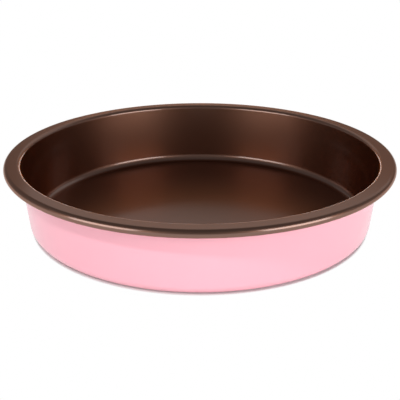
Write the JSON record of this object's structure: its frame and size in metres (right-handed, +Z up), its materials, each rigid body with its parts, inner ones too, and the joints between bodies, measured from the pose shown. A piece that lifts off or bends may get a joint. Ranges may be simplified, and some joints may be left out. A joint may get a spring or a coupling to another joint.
{
  "type": "round cake tin",
  "caption": "Shallow round cake tin with a flat floor, rounded corner, slightly flared wall and a wide flange that ends in a rolled bead.",
  "frame": {"origin": "middle of the base, on the surface the tin stands on", "axes": "+Z up through the middle of the opening; the tin is round about it, so X and Y are free"},
  "size_m": [0.2623, 0.2624, 0.0468],
  "materials": {
    "bare_steel": "cold-rolled carbon steel sheet, bare only at its cut edge inside the rolled bead",
    "brown_nonstick": "satin dark brown non-stick coat with a fine texture",
    "pink_lacquer": "glossy pale pink baked lacquer"
  },
  "bodies": {
    "root": {"pressed_steel_shell": "bare_steel", "brown_nonstick_coat": "brown_nonstick", "pink_lacquer_coat": "pink_lacquer"}
  },
  "joints": []
}
